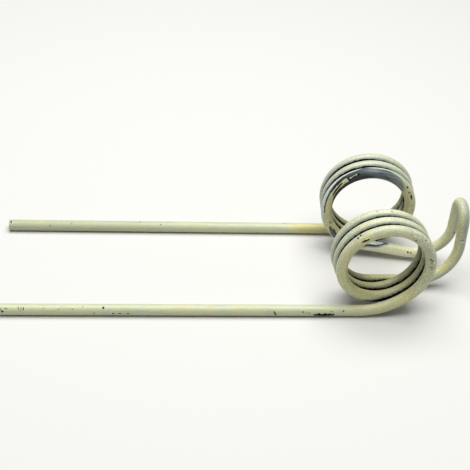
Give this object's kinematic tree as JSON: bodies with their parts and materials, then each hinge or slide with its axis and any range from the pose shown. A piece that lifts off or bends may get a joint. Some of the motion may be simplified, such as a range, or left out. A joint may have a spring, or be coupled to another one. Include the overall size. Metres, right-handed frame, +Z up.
{
  "type": "rotary rake tine",
  "caption": "Double spring tine of bent round wire: straight parallel tines, a close-wound coil at the root of each, and a hairpin loop between them for the clamping bolt.",
  "frame": {"origin": "on the ground, under the middle of the piece's box as it lies on its two tines with the loop standing up", "axes": "+X from the tines' tips towards the loop, +Z up, and XZ is the mirror plane between the two tines"},
  "size_m": [0.3724, 0.1156, 0.0859],
  "materials": {
    "painted_spring_steel": "worn satin cream paint with chips down to dark steel"
  },
  "bodies": {
    "root": {"spring_tine": "painted_spring_steel"}
  },
  "joints": []
}
